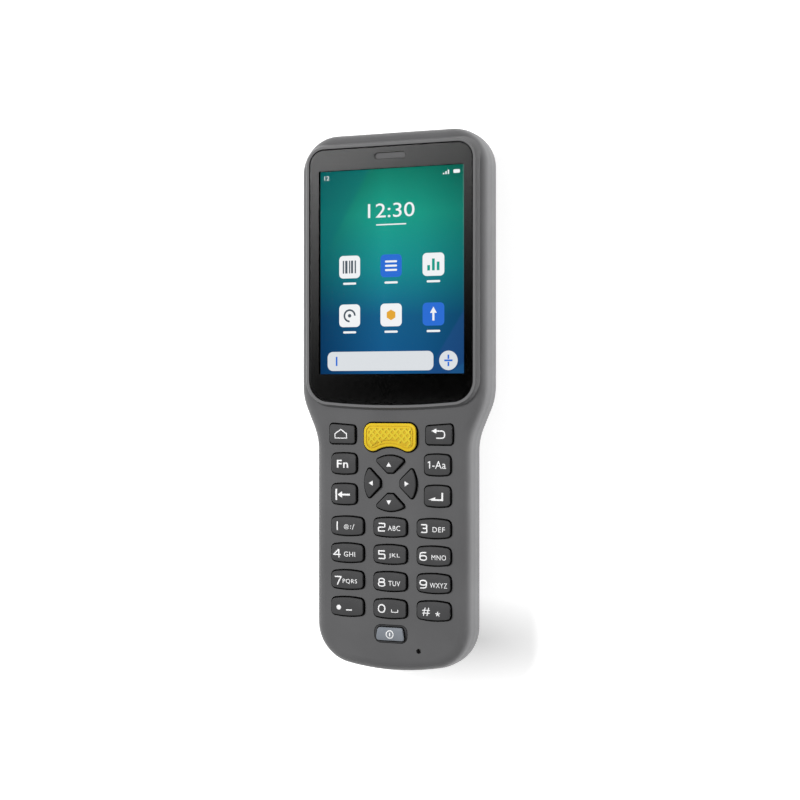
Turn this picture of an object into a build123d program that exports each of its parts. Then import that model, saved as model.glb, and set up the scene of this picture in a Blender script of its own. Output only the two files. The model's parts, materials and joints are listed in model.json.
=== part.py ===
from build123d import *
import os
from math import atan2, cos, degrees, radians, sin, sqrt, tan

# Portable barcode data terminal lying on its back: +X right, +Y to the scanning end, +Z out of the face.
# Millimetres. The origin is the centre of the footprint, on the flat back.

# ---- overall form ----
length = 152.0  # microphone end to scanning end
head_half = 28.2  # half width beside the display
grip_half = 23.35  # half width beside the keypad
waist_drop = 3.84  # glass to the middle of the S curve between head and grip
waist_radius = 17.0
waist_angle = 23.0
waist_share = 0.9  # most of the step between head and grip that the two arcs may take
head_corner = 11.0
foot_corner = 12.0
foot_arc = 70.0  # the microphone end is bowed

wall = 1.6
back_draft = 24.0  # the rear flanks lean in to the back
back_round = 6.0
turn_z = 11.4  # above this the rear flanks stand upright
split_z = 15.0  # parting line of the two housings
face_z = 19.8  # keypad surface
rim_z = 21.0  # lip around the cover glass
face_draft = 8.0
face_round = 3.0
seal_inset = 0.45
seal_width = 0.7
seal_depth = 0.6

# ---- display ----
glass_half = 24.4
glass_margin = 4.6  # glass to scanning end
glass_top_border = 6.1
glass_foot_border = 8.66  # picture to the lowest point of the bowed lower edge
glass_foot_arc = 200.0
glass_top_corner = 4.4
glass_foot_corner = 6.0
glass_thick = 1.1
glass_drop = 0.2  # the glass lies below the lip
glass_gap = 0.2
glass_edge = 0.15
tape_thick = 0.2
tape_inset = 0.2
lip = 0.9
lip_flare = 30.0
lip_root_z = 18.8

active_width = 43.2  # 2.8 inch, 3:4
active_height = 57.6
panel_border = 0.9
panel_chin = 2.4  # driver strip below the picture
panel_thick = 2.5
panel_clear = 0.3
earpiece_drop = 2.6  # upper edge of the glass to the middle of the slot
earpiece_width = 9.2
earpiece_height = 1.9
earpiece_length = 13.0
earpiece_depth = 4.6
earpiece_thick = 2.2
earpiece_round = 1.0
mesh_gap = 0.15
mesh_thick = 0.3
mesh_drop = 0.35

# ---- keypad ----
column_pitch = 12.95
row_pitch = 7.6
number_space = 12.3  # direction ring to the first number row
number_width = 10.45
number_height = 6.0
number_bow = 0.55
side_gap = 1.745  # direction ring to the keys beside it
upper_side_rise = 5.35  # above the middle of the direction ring
lower_side_drop = 3.3
side_width = 8.25
side_height = 6.55
side_bow = 0.4
key_corner = 1.5
home_gap = 2.0  # scan key to the keys beside it
home_rise = 0.95  # above the middle of the scan key
home_key_width = 8.5
home_key_height = 6.4
home_key_slope = 0.65  # the upper edge falls towards the scan key
home_key_corner = 1.2
scan_space = 9.14  # glass to the middle of the scan key
scan_key_width = 16.5
scan_key_height = 8.7
scan_key_corner = 2.7
scan_key_lobe = 3.0
scan_key_bite = 1.35  # hollow in the lower edge
scan_groove_count = 2
scan_groove_inset = 0.75  # edge of the cap to the first groove
scan_groove_pitch = 0.75  # the raised outline stands between them
scan_groove_width = 0.3
scan_groove_depth = 0.15
nav_space = 12.9  # scan key to the middle of the direction ring
nav_outer = 8.13
nav_inner = 2.6  # centre to the flat of each arrow key
nav_slot = 1.1  # half of the gap along the diagonals
nav_corner = 0.9
power_margin = 10.8  # power key to microphone end
power_width = 10.0
power_height = 5.2
power_corner = 2.0
power_cap_width = 8.6
power_cap_height = 3.7
power_cap_slant = 0.6
power_cap_corner = 0.8
power_ring_gap = 0.15

key_gap = 0.42  # cap to hole
key_flange = 0.5  # reach of the retaining flange past the hole
key_flange_thick = 0.8
key_seat = 0.1  # flange to wall at rest
key_proud = 0.9
key_crown = 0.4
key_edge = 0.25
key_travel = 0.6
plunger_radius = 1.2

# ---- boards ----
board_thick = 1.0
board_edge = 1.0  # board to casing
key_board_z = 15.6  # upper side
key_board_drop = 2.64  # below the glass
key_board_margin = 3.4  # to microphone end
mat_thick = 1.0
mat_hole = 2.5
dome_radius = 2.0
dome_height = 0.25
chassis_plate = 0.9
chassis_wall = 0.9
main_board_z = 13.0  # upper side
main_board_half = 21.0
main_board_margin = 1.4  # inside the chassis
main_board_gap = 1.5  # to the scan engine
standoff_x = 18.0
standoff_inset = 3.5
standoff_radius = 1.7
shield_width = 17.0
shield_length = 15.0
shield_height = 1.8
shield_pitch = 21.0
shield_drop = 21.0  # below the upper edge of the board
shield_corner = 0.9

# ---- battery ----
cell_half = 15.0
cell_length = 53.0
cell_thick = 9.2
cell_round = 1.5
cell_clear = 0.3
bay_roof = 1.2
bay_seat = 1.2  # ledge beyond the edge of the cover
bay_rib = 2.7
cover_half = 16.5
cover_margin = 15.0  # to microphone end
cover_foot_reach = 3.0  # past the cell
cover_head_reach = 4.0
cover_corner = 4.0
cover_thick = 1.5
cover_gap = 0.15
cover_drop = 0.2  # the cover lies inside the plane of the back
hook_x = 9.0
hook_width = 5.0
hook_reach = 1.8
hook_root = 2.0
hook_thick = 0.9
tongue_width = 12.0
tongue_thick = 1.2
tongue_height = 2.7
swing_gap = 0.4
nail_radius = 5.0
nail_depth = 0.7
contact_width = 10.0
contact_height = 3.0
contact_depth = 1.7
contact_rise = 5.5  # above the lower side of the cell
pin_pitch = 2.5
pin_radius = 0.6
pin_gap = 0.05

# ---- scanning end ----
window_z = 8.0
window_width = 24.0
window_height = 6.6
window_corner = 1.4
window_thick = 1.2
window_drop = 0.3
window_border = 1.5
window_frame = 1.3
window_frame_depth = 2.6
window_gap = 0.1
engine_width = 21.0
engine_length = 10.5
engine_setback = 7.0  # behind the scanning end
engine_low_z = 5.0
engine_height = 7.6
engine_round = 0.8
engine_lens_x = 4.0
engine_lens_radius = 2.8
engine_lamp_x = -5.0
engine_lamp_radius = 1.6
engine_lens_proud = 0.5
cradle_x = 8.0
cradle_rib = 1.4

# ---- foot end ----
usb_width = 9.0
usb_height = 3.2
usb_depth = 7.2
usb_wall = 0.3
usb_drop = 1.2
usb_tongue_width = 6.6
usb_tongue_thick = 0.7
usb_gap = 0.3
strap_width = 8.0
strap_room = 3.7  # pocket around the pin
strap_wall = 1.3
strap_pin_radius = 0.9
strap_pin_drop = 0.2
strap_grip = 0.9  # how far the pin reaches into each side
microphone_x = 8.3
microphone_margin = 6.4  # to microphone end
microphone_hole = 0.7
microphone_size = 3.4
microphone_height = 1.7

# ---- back ----
speaker_drop = 14.5  # below the middle of the display
speaker_width = 16.0
speaker_length = 12.0
speaker_thick = 4.0
speaker_corner = 1.5
grille_slot = 12.0
grille_width = 1.2
grille_pitch = 2.3
grille_count = 4
motor_x = 13.0
motor_rise = 3.5  # above the middle of the display
motor_radius = 4.0
motor_thick = 3.0

# ---- fasteners ----
screw_radius = 0.9
screw_head_radius = 1.7
screw_head_height = 1.2
screw_seat_z = 6.0
screw_tip_z = 17.0
screw_bite = 0.05
screw_clear = 0.3
post_radius = 2.7
post_top_z = 14.0
post_gap = 0.4
top_post_inset = 11.0  # from the side of the head
top_post_rise = 3.0  # above the chassis
waist_post_inset = 8.3
waist_post_rise = 1.56  # above the lower edge of the glass
foot_post_inset = 9.6  # from the side of the grip
foot_post_margin = 9.2  # to microphone end
small_screw_radius = 0.7
small_head_radius = 1.3
small_head_height = 0.7

# ---- places and levels that follow ----
end_y = length / 2
glass_top_y = end_y - glass_margin
active_y = glass_top_y - glass_top_border - active_height / 2
glass_foot_y = active_y - active_height / 2 - glass_foot_border
earpiece_y = glass_top_y - earpiece_drop
waist_y = glass_foot_y - waist_drop
scan_key_y = glass_foot_y - scan_space
home_key_x = (scan_key_width + home_key_width) / 2 + home_gap
home_key_y = scan_key_y + home_rise
nav_y = scan_key_y - nav_space
side_key_x = nav_outer + side_gap + side_width / 2
upper_side_y = nav_y + upper_side_rise
lower_side_y = nav_y - lower_side_drop
number_top_y = nav_y - number_space
power_y = power_margin - end_y
microphone_y = microphone_margin - end_y
key_board_top_y = glass_foot_y - key_board_drop
key_board_foot_y = key_board_margin - end_y
back_lean = tan(radians(back_draft))
ceiling_z = face_z - wall  # inner side of the keypad wall
glass_top_z = rim_z - glass_drop
glass_low_z = glass_top_z - glass_thick
ledge_z = glass_low_z - tape_thick
panel_top_z = glass_low_z - panel_clear
panel_low_z = panel_top_z - panel_thick
panel_half = active_width / 2 + panel_border
panel_top_y = active_y + active_height / 2 + panel_border
panel_foot_y = active_y - active_height / 2 - panel_chin
chassis_top_y = panel_top_y + panel_clear + chassis_wall
chassis_foot_y = panel_foot_y - panel_clear - chassis_wall
engine_front_y = end_y - engine_setback
engine_back_y = engine_front_y - engine_length
main_board_foot_y = chassis_foot_y + main_board_margin
main_board_top_y = engine_back_y - main_board_gap
standoff_foot_y = main_board_foot_y + standoff_inset
standoff_top_y = main_board_top_y - standoff_inset
shield_y = main_board_top_y - shield_drop
speaker_y = active_y - speaker_drop
motor_y = active_y + motor_rise
top_post_x = head_half - top_post_inset
top_post_y = chassis_top_y + top_post_rise
waist_post_x = head_half - waist_post_inset
waist_post_y = glass_foot_y + waist_post_rise
foot_post_x = grip_half - foot_post_inset
foot_post_y = foot_post_margin - end_y
flange_top_z = ceiling_z - key_seat
flange_low_z = flange_top_z - key_flange_thick
dome_top_z = key_board_z + dome_height
plunger_low_z = dome_top_z + key_travel + key_seat
mat_top_z = key_board_z + mat_thick
cover_inner_z = cover_drop + cover_thick
cell_low_z = cover_inner_z + cell_clear
cell_top_z = cell_low_z + cell_thick
bay_roof_z = cell_top_z + cell_clear + bay_roof
contact_z = cell_low_z + contact_rise
cover_foot_y = cover_margin - end_y
cell_foot_y = cover_foot_y + cover_foot_reach
cell_top_y = cell_foot_y + cell_length
contact_y = cell_top_y + cell_clear
cover_top_y = cell_top_y + cover_head_reach
bay_half = cover_half + bay_seat
bay_foot_y = cover_foot_y - bay_seat
bay_top_y = cover_top_y + bay_seat
round_reach = back_round * tan(radians((90 - back_draft) / 2))
flat_inset = turn_z * back_lean + round_reach  # widest outline to the flat of the back
strap_y = -end_y + flat_inset - (back_round - strap_pin_radius - strap_pin_drop) * cos(radians(45))
strap_z = back_round - (back_round - strap_pin_radius - strap_pin_drop) * sin(radians(45))
strap_top_z = strap_z + strap_room
usb_low_z = strap_top_z + strap_wall
usb_z = usb_low_z + usb_height / 2
usb_mouth_y = -end_y + (turn_z - usb_z) * back_lean  # the leaning wall at the height of the connector
usb_front_y = usb_mouth_y + usb_drop
usb_plane = Plane(origin=(0, usb_mouth_y, usb_z), x_dir=(1, 0, 0), z_dir=(0, -1, 0))

posts = [
    (side * x, y)
    for side in (-1, 1)
    for x, y in (
        (top_post_x, top_post_y),
        (waist_post_x, waist_post_y),
        (foot_post_x, foot_post_y),
    )
]
standoffs = [(s * standoff_x, y) for s in (-1, 1) for y in (standoff_foot_y, standoff_top_y)]
window_plane = Plane(
    origin=(0, end_y - (turn_z - window_z) * back_lean, window_z),
    x_dir=(1, 0, 0),
    z_dir=(0, cos(radians(back_draft)), -sin(radians(back_draft))),
)


def save(shape, name):
    """Labels one sub-part and writes it; the file's name is the node's name."""
    shape.label = name
    export_step(shape, f"parts/{name}.step")


def block(x_low, x_high, y_low, y_high):
    """Rectangle between four limits, on the current sketch."""
    with Locations(((x_low + x_high) / 2, (y_low + y_high) / 2)):
        Rectangle(x_high - x_low, y_high - y_low)


# ---- outlines ----
def outline(inset=0.0):
    """Plan of the casing at its widest, shrunk by inset."""
    turn = radians(waist_angle)
    step = head_half - grip_half
    bend = min(waist_radius, waist_share * step / 2 / (1 - cos(turn)))
    ramp = (step - 2 * bend * (1 - cos(turn))) / sin(turn)
    span = 2 * bend * sin(turn) + ramp * cos(turn)
    foot_y = -end_y + foot_arc - sqrt(foot_arc**2 - grip_half**2)
    with BuildSketch() as plan:
        with BuildLine():
            shoulder = JernArc((head_half, waist_y + span / 2), (0, -1), bend, -waist_angle)
            slope = PolarLine(shoulder @ 1, ramp, direction=shoulder % 1)
            hip = JernArc(slope @ 1, slope % 1, bend, waist_angle)
            side = Line(hip @ 1, (grip_half, foot_y))
            upper = Line((head_half, end_y), shoulder @ 0)
            mirror(objects=[shoulder, slope, hip, side, upper], about=Plane.YZ)
            ThreePointArc((grip_half, foot_y), (0, -end_y), (-grip_half, foot_y))
            Line((-head_half, end_y), (head_half, end_y))
        make_face()
        fillet(plan.vertices().group_by(Axis.Y)[-1], radius=head_corner)
        fillet(plan.vertices().group_by(Axis.Y)[0], radius=foot_corner)
        if inset:
            offset(amount=-inset)
    return plan.sketch


def glass_outline(grow=0.0):
    """Plan of the cover glass with its bowed lower edge, grown all round."""
    side_y = glass_foot_y + glass_foot_arc - sqrt(glass_foot_arc**2 - glass_half**2)
    with BuildSketch() as plan:
        with BuildLine():
            Polyline(
                (-glass_half, side_y),
                (-glass_half, glass_top_y),
                (glass_half, glass_top_y),
                (glass_half, side_y),
            )
            ThreePointArc((glass_half, side_y), (0, glass_foot_y), (-glass_half, side_y))
        make_face()
        fillet(plan.vertices().group_by(Axis.Y)[-1], radius=glass_top_corner)
        fillet(plan.vertices().group_by(Axis.Y)[0], radius=glass_foot_corner)
        if grow:
            offset(amount=grow)
    return plan.sketch


def cover_outline(grow=0.0):
    """Plan of the battery cover."""
    with BuildSketch() as plan:
        block(-cover_half, cover_half, cover_foot_y, cover_top_y)
        fillet(plan.vertices(), radius=cover_corner)
        if grow:
            offset(amount=grow)
    return plan.sketch


def resized(plan, amount):
    """A key outline grown or shrunk all round."""
    with BuildSketch() as changed:
        add(plan)
        offset(amount=amount)
    return changed.sketch


def bowed_key(width, height, bow):
    """Key hole with bowed upper and lower edges."""
    with BuildSketch() as plan:
        with BuildLine():
            side_y = height / 2 - bow
            upper = ThreePointArc((-width / 2, side_y), (0, height / 2), (width / 2, side_y))
            mirror(about=Plane.XZ)
            Line(upper @ 0, (-width / 2, bow - height / 2))
            Line(upper @ 1, (width / 2, bow - height / 2))
        make_face()
        fillet(plan.vertices(), radius=key_corner)
    return plan.sketch


def home_key():
    """Left key of the pair beside the scan key."""
    half = home_key_width / 2
    low = -home_key_height / 2
    with BuildSketch() as plan:
        with BuildLine():
            Polyline((-half, low), (half, low), (half, -low - home_key_slope), (-half, -low), close=True)
        make_face()
        fillet(plan.vertices(), radius=home_key_corner)
    return plan.sketch


def scan_key():
    """Scan key hole: two round lobes below with a hollow between them."""
    half = scan_key_width / 2
    top = scan_key_height / 2
    lobe_x = half - scan_key_lobe
    lobe_y = scan_key_lobe - top
    hollow = (lobe_x**2 + (scan_key_lobe - scan_key_bite) ** 2 - scan_key_lobe**2) / (2 * scan_key_bite)
    lean = degrees(atan2(lobe_x, hollow + scan_key_lobe - scan_key_bite))
    with BuildSketch() as plan:
        with BuildLine():
            Line((-half, top), (half, top))
            side = Line((half, top), (half, lobe_y))
            lobe = CenterArc((lobe_x, lobe_y), scan_key_lobe, 0, -90 - lean)
            mirror(objects=[side, lobe], about=Plane.YZ)
            CenterArc((0, scan_key_bite - top - hollow), hollow, 90 - lean, 2 * lean)
        make_face()
        fillet(plan.vertices().group_by(Axis.Y)[-1], radius=scan_key_corner)
    return plan.sketch


def arrow_key():
    """Upper key of the direction ring, about the centre of the ring."""
    notch = nav_slot * sqrt(2)
    with BuildSketch() as plan:
        Circle(nav_outer)
        with BuildLine():
            Polyline(
                (notch - nav_inner, nav_inner),
                (nav_inner - notch, nav_inner),
                (2 * nav_outer - notch, 2 * nav_outer),
                (notch - 2 * nav_outer, 2 * nav_outer),
                close=True,
            )
        make_face(mode=Mode.INTERSECT)
        fillet(plan.vertices(), radius=nav_corner)
    return plan.sketch


def power_hole():
    """Hole of the power key with its rubber ring."""
    with BuildSketch() as plan:
        RectangleRounded(power_width, power_height, power_corner)
    return plan.sketch


def power_cap():
    """Power key cap, a little narrower at its upper edge."""
    half = power_cap_width / 2
    top = power_cap_height / 2
    with BuildSketch() as plan:
        with BuildLine():
            Polyline(
                (-half, -top),
                (half, -top),
                (half - power_cap_slant, top),
                (power_cap_slant - half, top),
                close=True,
            )
        make_face()
        fillet(plan.vertices(), radius=power_cap_corner)
    return plan.sketch


def grooves(cap):
    """Upright rings over the scan key, for the grooves around its gripping field."""
    with BuildPart() as rings:
        for number in range(scan_groove_count):
            reach = scan_groove_inset + number * scan_groove_pitch
            with BuildSketch(Plane.XY.offset(face_z)):
                add(resized(cap, -reach))
                add(resized(cap, -reach - scan_groove_width), mode=Mode.SUBTRACT)
            extrude(amount=key_proud)
    return rings.part


def panel_outline(grow):
    """Plan of the display panel, grown all round."""
    with BuildSketch() as plan:
        block(-panel_half - grow, panel_half + grow, panel_foot_y - grow, panel_top_y + grow)
    return plan.sketch


# ---- casing forms ----
def rear_form(inset=0.0):
    """Solid form of the rear housing: an upright band over flanks that lean in to a rounded back."""
    with BuildPart() as form:
        with BuildSketch(Plane.XY.offset(turn_z)):
            add(outline(inset))
        with BuildSketch(Plane.XY.offset(inset)):
            add(outline(inset + (turn_z - inset) * back_lean))
        loft(ruled=True)
        fillet(form.faces().sort_by(Axis.Z)[0].edges(), radius=back_round - inset)
        with BuildSketch(Plane.XY.offset(turn_z)):
            add(outline(inset))
        extrude(amount=split_z - turn_z)
    return form.part


def front_form(inset=0.0):
    """Solid form of the front housing without the lip."""
    height = face_z - inset - split_z
    with BuildPart() as form:
        with BuildSketch(Plane.XY.offset(split_z)):
            add(outline(inset))
        with BuildSketch(Plane.XY.offset(split_z + height)):
            add(outline(inset + height * tan(radians(face_draft))))
        loft(ruled=True)
        fillet(form.faces().sort_by(Axis.Z)[-1].edges(), radius=face_round - inset)
    return form.part


os.makedirs("parts", exist_ok=True)
rear_solid = rear_form()
rear_hollow = rear_form(wall)
front_solid = front_form()
front_hollow = front_form(wall)
panel_window = panel_outline(panel_clear)
chassis_plan = panel_outline(panel_clear + chassis_wall)
cover_prism = extrude(cover_outline(cover_gap), amount=back_round)
cover_recess = cover_prism - rear_form(cover_inner_z + cover_gap)

# ---- key holes, by key ----
home_hole = home_key()
side_hole = bowed_key(side_width, side_height, side_bow)
number_hole = bowed_key(number_width, number_height, number_bow)
arrow_hole = arrow_key()
key_places = {
    "key_scan": (0, scan_key_y, scan_key()),
    "key_home": (-home_key_x, home_key_y, home_hole),
    "key_back": (home_key_x, home_key_y, mirror(home_hole, about=Plane.YZ)),
    "key_function": (-side_key_x, upper_side_y, side_hole),
    "key_shift": (side_key_x, upper_side_y, side_hole),
    "key_delete": (-side_key_x, lower_side_y, side_hole),
    "key_enter": (side_key_x, lower_side_y, side_hole),
}
number_names = ("1", "2", "3", "4", "5", "6", "7", "8", "9", "dot", "0", "hash")
for index, name in enumerate(number_names):
    row, column = divmod(index, 3)
    key_places[f"key_{name}"] = ((column - 1) * column_pitch, number_top_y - row * row_pitch, number_hole)
arrow_reach = (nav_inner + nav_outer) / 2
arrow_turns = {"key_up": 0, "key_left": 90, "key_down": 180, "key_right": 270}
key_places["key_power"] = (0, power_y, power_hole())

key_holes = {name: Pos(x, y) * hole for name, (x, y, hole) in key_places.items()}
key_centres = {name: (x, y) for name, (x, y, hole) in key_places.items()}
for name, turn in arrow_turns.items():
    key_holes[name] = Pos(0, nav_y) * Rot(0, 0, turn) * arrow_hole
    key_centres[name] = (-arrow_reach * sin(radians(turn)), nav_y + arrow_reach * cos(radians(turn)))


# ---- rear housing ----
with BuildPart() as rear_housing:
    with BuildSketch():
        block(-bay_half, bay_half, bay_foot_y, bay_top_y)
    extrude(amount=bay_roof_z)
    with BuildSketch():
        with Locations(*posts):
            Circle(post_radius)
    extrude(amount=post_top_z)
    with BuildSketch():
        block(
            -strap_width / 2 - strap_wall,
            strap_width / 2 + strap_wall,
            -end_y,
            strap_y + strap_room + strap_wall,
        )
    extrude(amount=usb_low_z)
    with BuildSketch(window_plane):
        RectangleRounded(window_width + 2 * window_frame, window_height + 2 * window_frame, window_corner)
    extrude(amount=-window_frame_depth)
    with BuildSketch():
        for side in (-cradle_x, cradle_x):
            block(side - cradle_rib / 2, side + cradle_rib / 2, engine_back_y, engine_front_y - window_frame)
    extrude(amount=engine_low_z)
    with BuildSketch(Plane.XY.offset(bay_roof_z)):
        with Locations((0, (bay_foot_y + bay_top_y) / 2)):
            with GridLocations(2 * cell_half - bay_rib, (bay_top_y - bay_foot_y) / 2, 2, 3):
                Rectangle(bay_rib, bay_rib)
    extrude(amount=key_board_z - board_thick - bay_roof_z)
    add(rear_solid, mode=Mode.INTERSECT)
    add(rear_solid - rear_hollow)
    # battery pocket, open to the back
    with BuildSketch():
        block(
            -cell_half - cell_clear,
            cell_half + cell_clear,
            cell_foot_y - cell_clear,
            cell_top_y + cell_clear,
        )
    extrude(amount=cell_top_z + cell_clear, mode=Mode.SUBTRACT)
    # recess of the cover, with slots for its hooks and its snap tongue
    add(cover_recess, mode=Mode.SUBTRACT)
    with BuildSketch(Plane.XY.offset(wall)):
        for side in (-hook_x, hook_x):
            block(
                side - hook_width / 2 - swing_gap,
                side + hook_width / 2 + swing_gap,
                cover_foot_y - hook_reach - swing_gap,
                cell_foot_y,
            )
        block(
            -tongue_width / 2 - swing_gap,
            tongue_width / 2 + swing_gap,
            cover_top_y - tongue_thick - 2 * swing_gap,
            cover_top_y + swing_gap,
        )
    extrude(amount=hook_reach + hook_thick + swing_gap, mode=Mode.SUBTRACT)
    # pocket of the battery contacts
    with BuildSketch(Plane.XY.offset(contact_z - contact_height / 2)):
        block(-contact_width / 2, contact_width / 2, cell_top_y, cell_top_y + cell_clear + contact_depth)
    extrude(amount=contact_height, mode=Mode.SUBTRACT)
    # screw holes with deep seats
    with BuildSketch():
        with Locations(*posts):
            Circle(screw_head_radius + screw_clear)
    extrude(amount=screw_seat_z, mode=Mode.SUBTRACT)
    with BuildSketch():
        with Locations(*posts):
            Circle(screw_radius + screw_clear)
    extrude(amount=post_top_z, mode=Mode.SUBTRACT)
    # scan window
    with BuildSketch(window_plane):
        RectangleRounded(window_width + 2 * window_gap, window_height + 2 * window_gap, window_corner)
    extrude(amount=-window_drop - window_thick, mode=Mode.SUBTRACT)
    with BuildSketch(window_plane):
        RectangleRounded(window_width - 2 * window_border, window_height - 2 * window_border, window_corner)
    extrude(amount=-2 * window_frame_depth, mode=Mode.SUBTRACT)
    # strap pocket with the bores of its pin, and the connector opening above it
    with BuildSketch(Plane.YZ):
        with Locations((strap_y, strap_z)):
            Circle(strap_room)
        block(-end_y, strap_y, 0, strap_top_z)
        block(strap_y - strap_room, strap_y + strap_room, 0, strap_z)
    extrude(amount=strap_width / 2, both=True, mode=Mode.SUBTRACT)
    with BuildSketch(Plane.YZ):
        with Locations((strap_y, strap_z)):
            Circle(strap_pin_radius)
    extrude(amount=strap_width / 2 + strap_grip, both=True, mode=Mode.SUBTRACT)
    with BuildSketch(usb_plane):
        RectangleRounded(usb_width + 2 * usb_gap, usb_height + 2 * usb_gap, usb_height / 2)
    extrude(amount=-usb_drop - wall / cos(radians(back_draft)) - usb_gap, both=True, mode=Mode.SUBTRACT)
    # loudspeaker grille
    with BuildSketch():
        with Locations((0, speaker_y)):
            with GridLocations(grille_pitch, grille_pitch, 1, grille_count):
                SlotOverall(grille_slot, grille_width)
    extrude(amount=wall, mode=Mode.SUBTRACT)
    # seal groove in the rim
    with BuildSketch(Plane.XY.offset(split_z)):
        add(outline(seal_inset))
        add(outline(seal_inset + seal_width), mode=Mode.SUBTRACT)
    extrude(amount=-seal_depth, mode=Mode.SUBTRACT)
save(rear_housing.part, "rear_housing")

# ---- front housing ----
with BuildPart() as front_housing:
    add(front_solid)
    with BuildSketch(Plane.XY.offset(lip_root_z)):
        add(glass_outline(lip + (rim_z - lip_root_z) * tan(radians(lip_flare))))
    with BuildSketch(Plane.XY.offset(rim_z)):
        add(glass_outline(lip))
    loft(ruled=True)
    # the lip's flank ends at the side of the casing
    with BuildSketch(Plane.XY.offset(split_z)):
        add(outline())
    extrude(amount=rim_z - split_z, mode=Mode.INTERSECT)
    add(front_hollow, mode=Mode.SUBTRACT)
    with BuildSketch(Plane.XY.offset(post_top_z)):
        with Locations(*posts):
            Circle(post_radius)
    extrude(amount=ceiling_z - post_top_z)
    # glass pocket and the opening of the display
    with BuildSketch(Plane.XY.offset(ledge_z)):
        add(glass_outline(glass_gap))
    extrude(amount=rim_z - ledge_z, mode=Mode.SUBTRACT)
    with BuildSketch(Plane.XY.offset(ledge_z)):
        add(panel_window)
        with Locations((0, earpiece_y)):
            SlotOverall(earpiece_width, earpiece_height)
    extrude(amount=-wall - glass_thick, mode=Mode.SUBTRACT)
    # key holes, microphone hole and screw bores
    with BuildSketch(Plane.XY.offset(ceiling_z)):
        add(list(key_holes.values()))
        with Locations((microphone_x, microphone_y)):
            Circle(microphone_hole)
    extrude(amount=wall, mode=Mode.SUBTRACT)
    with BuildSketch(Plane.XY.offset(post_top_z)):
        with Locations(*posts):
            Circle(screw_radius + screw_bite)
    extrude(amount=screw_tip_z + screw_clear - post_top_z, mode=Mode.SUBTRACT)
save(front_housing.part, "front_housing")

with BuildPart() as housing_seal:
    with BuildSketch(Plane.XY.offset(split_z - seal_depth)):
        add(outline(seal_inset))
        add(outline(seal_inset + seal_width), mode=Mode.SUBTRACT)
    extrude(amount=seal_depth)
save(housing_seal.part, "housing_seal")

# ---- display ----
with BuildPart() as cover_glass:
    with BuildSketch(Plane.XY.offset(glass_low_z)):
        add(glass_outline())
    extrude(amount=glass_thick)
    chamfer(cover_glass.faces().sort_by(Axis.Z)[-1].edges(), length=glass_edge)
    with BuildSketch(Plane.XY.offset(glass_low_z)):
        with Locations((0, earpiece_y)):
            SlotOverall(earpiece_width, earpiece_height)
    extrude(amount=glass_thick, mode=Mode.SUBTRACT)
save(cover_glass.part, "cover_glass")

with BuildPart() as glass_tape:
    with BuildSketch(Plane.XY.offset(ledge_z)):
        add(glass_outline(-tape_inset))
        add(panel_window, mode=Mode.SUBTRACT)
        with Locations((0, earpiece_y)):
            SlotOverall(earpiece_width, earpiece_height, mode=Mode.SUBTRACT)
    extrude(amount=tape_thick)
save(glass_tape.part, "glass_tape")

with BuildPart() as display_panel:
    with BuildSketch(Plane.XY.offset(panel_low_z)):
        block(-panel_half, panel_half, panel_foot_y, panel_top_y)
    extrude(amount=panel_thick)
save(display_panel.part, "display_panel")

with BuildPart() as earpiece_mesh:
    with BuildSketch(Plane.XY.offset(glass_top_z - mesh_drop)):
        with Locations((0, earpiece_y)):
            SlotOverall(earpiece_width - 2 * mesh_gap, earpiece_height - 2 * mesh_gap)
    extrude(amount=-mesh_thick)
save(earpiece_mesh.part, "earpiece_mesh")

with BuildPart() as earpiece:
    with BuildSketch(Plane.XY.offset(ceiling_z)):
        with Locations((0, chassis_top_y + panel_clear + earpiece_depth / 2)):
            RectangleRounded(earpiece_length, earpiece_depth, earpiece_round)
    extrude(amount=-earpiece_thick)
save(earpiece.part, "earpiece")

# ---- chassis and main board ----
with BuildPart() as chassis:
    with BuildSketch(Plane.XY.offset(panel_low_z - chassis_plate)):
        add(chassis_plan)
    extrude(amount=ceiling_z - panel_low_z + chassis_plate)
    with BuildSketch(Plane.XY.offset(panel_low_z)):
        add(panel_window)
    extrude(amount=ceiling_z - panel_low_z, mode=Mode.SUBTRACT)
    with BuildSketch(Plane.XY.offset(panel_low_z - chassis_plate)):
        with Locations(*standoffs):
            Circle(standoff_radius)
    extrude(amount=main_board_z - panel_low_z + chassis_plate)
    with BuildSketch(Plane.XY.offset(main_board_z)):
        with Locations(*standoffs):
            Circle(small_screw_radius + screw_bite)
    extrude(amount=panel_low_z - chassis_plate - main_board_z, mode=Mode.SUBTRACT)
save(chassis.part, "chassis")

with BuildPart() as main_board:
    with BuildSketch(Plane.XY.offset(main_board_z)):
        block(-main_board_half, main_board_half, main_board_foot_y, main_board_top_y)
        with Locations(*standoffs):
            Circle(small_screw_radius + screw_bite, mode=Mode.SUBTRACT)
    extrude(amount=-board_thick)
save(main_board.part, "main_board")

with BuildPart() as board_shields:
    with BuildSketch(Plane.XY.offset(main_board_z - board_thick)):
        with Locations((0, shield_y)):
            with GridLocations(shield_pitch, shield_pitch, 2, 1):
                RectangleRounded(shield_width, shield_length, shield_corner)
    extrude(amount=-shield_height)
save(board_shields.part, "board_shields")

with BuildPart() as chassis_screws:
    with BuildSketch(Plane.XY.offset(main_board_z - board_thick)):
        with Locations(*standoffs):
            Circle(small_head_radius)
    extrude(amount=-small_head_height)
    with BuildSketch(Plane.XY.offset(main_board_z - board_thick)):
        with Locations(*standoffs):
            Circle(small_screw_radius)
    extrude(amount=panel_low_z - chassis_plate - main_board_z + board_thick)
save(chassis_screws.part, "chassis_screws")

# ---- keypad ----
with BuildSketch() as board_plan:
    block(-head_half, head_half, key_board_foot_y, key_board_top_y)
    add(outline(wall + board_edge), mode=Mode.INTERSECT)
    with Locations(*posts):
        Circle(post_radius + post_gap, mode=Mode.SUBTRACT)

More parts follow.
